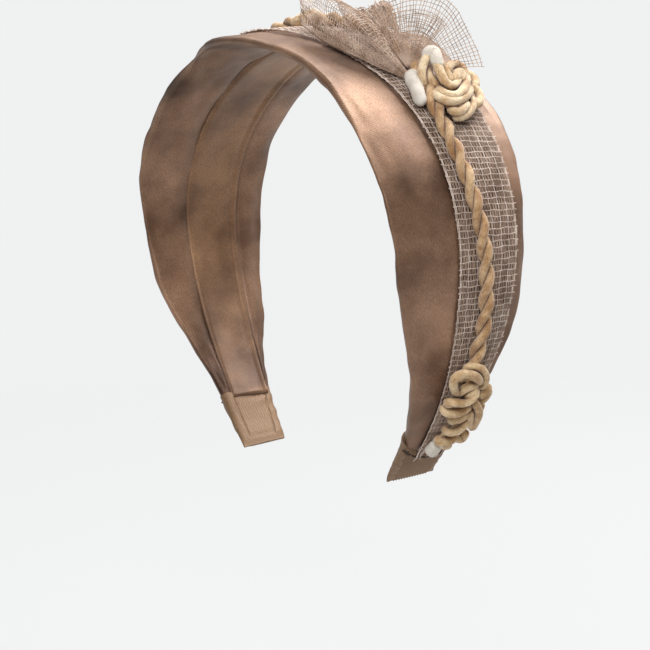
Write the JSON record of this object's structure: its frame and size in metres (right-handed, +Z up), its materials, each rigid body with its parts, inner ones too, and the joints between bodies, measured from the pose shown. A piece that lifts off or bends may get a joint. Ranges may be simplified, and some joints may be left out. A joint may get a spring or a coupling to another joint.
{
  "type": "knotted headband",
  "caption": "Wide padded satin headband, open at the ends, with a strip of open net, a twisted cord tied in chain knots, and a small gathered net bow.",
  "frame": {"origin": "On the lining, in the middle of the band at the top of the arch, where it sits on a head", "axes": "+Z up through the top of the arch; +X from ear to ear, towards the side that carries the bow; -Y to the front"},
  "size_m": [0.1641, 0.0678, 0.147],
  "materials": {
    "satin_cover": "satin",
    "satin_inner": "satin",
    "wadding": "soft",
    "core_strip": "matt",
    "open_net": "open weave",
    "twisted_cord": "soft",
    "white_cotton": "soft",
    "dark_thread": "matt"
  },
  "bodies": {
    "crown": {"core_crown": "core_strip", "pad_crown": "wadding", "cover_crown": "satin_cover", "lining_crown": "satin_inner", "net_strip_crown": "open_net", "cord_crown": "twisted_cord", "knot_upper_right": "twisted_cord", "knot_upper_left": "twisted_cord", "bow_binding": "white_cotton", "loop_tip_binding": "white_cotton"},
    "right_arm": {"core_right": "core_strip", "pad_right": "wadding", "cover_right": "satin_cover", "lining_right": "satin_inner", "net_strip_right": "open_net", "cord_right": "twisted_cord", "knot_lower_right": "twisted_cord", "cord_end_right": "white_cotton", "end_cap_right": "satin_cover", "cap_stitches_right": "dark_thread"},
    "left_arm": {"core_left": "core_strip", "pad_left": "wadding", "cover_left": "satin_cover", "lining_left": "satin_inner", "net_strip_left": "open_net", "cord_left": "twisted_cord", "knot_lower_left": "twisted_cord", "cord_end_left": "white_cotton", "end_cap_left": "satin_cover", "cap_stitches_left": "dark_thread"},
    "wing_lobe": {"net_wing": "open_net", "bow_tuft": "open_net"},
    "fan_lobe": {"net_fan": "open_net"}
  },
  "joints": [
    {"name": "right_flex", "type": "hinge", "parent": "crown", "child": "right_arm", "pos_m": [0.06634, 0, -0.03143], "axis": [0, -1, 0], "range_deg": [-4, 10], "stiffness_Nm_per_rad": 1.2},
    {"name": "left_flex", "type": "hinge", "parent": "crown", "child": "left_arm", "pos_m": [-0.06634, 0, -0.03143], "axis": [0, 1, 0], "range_deg": [-4, 10], "stiffness_Nm_per_rad": 1.2},
    {"name": "wing_lift", "type": "hinge", "parent": "crown", "child": "wing_lobe", "pos_m": [0.0515, -0.0075, -0.0085], "axis": [0, 1, 0], "range_deg": [0, 12], "stiffness_Nm_per_rad": 0.012},
    {"name": "fan_lean", "type": "hinge", "parent": "crown", "child": "fan_lobe", "pos_m": [0.049, 0.0012, -0.0034], "axis": [0.5593, 0.829, 0], "range_deg": [-8, 8], "stiffness_Nm_per_rad": 0.012}
  ]
}
